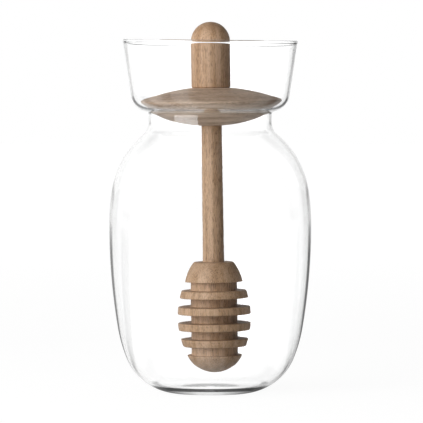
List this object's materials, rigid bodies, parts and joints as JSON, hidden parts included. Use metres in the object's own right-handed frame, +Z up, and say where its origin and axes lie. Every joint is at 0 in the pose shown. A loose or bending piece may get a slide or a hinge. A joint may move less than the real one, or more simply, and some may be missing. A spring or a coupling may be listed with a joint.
{
  "type": "honey jar with dipper",
  "caption": "Clear glass jar with a flared collar, closed by a lens-shaped wooden disc on a dipper that has a domed handle above and a grooved head below.",
  "frame": {"origin": "middle of the foot that the jar stands on", "axes": "+Z up along the jar's axis; the wooden dipper leans 0.8 degrees from it towards +X at its foot; +Y away from the viewer"},
  "size_m": [0.0877, 0.0876, 0.1609],
  "materials": {
    "borosilicate_glass": "clear blown borosilicate glass, fire-polished rim",
    "oak_disc": "turned oak with the grain lying level, lightly oiled",
    "oak_turned": "turned oak with upright grain and fine open pores, lightly oiled"
  },
  "bodies": {
    "root": {"jar": "borosilicate_glass", "lid_disc": "oak_disc", "handle": "oak_turned", "dipper": "oak_turned"}
  },
  "joints": []
}
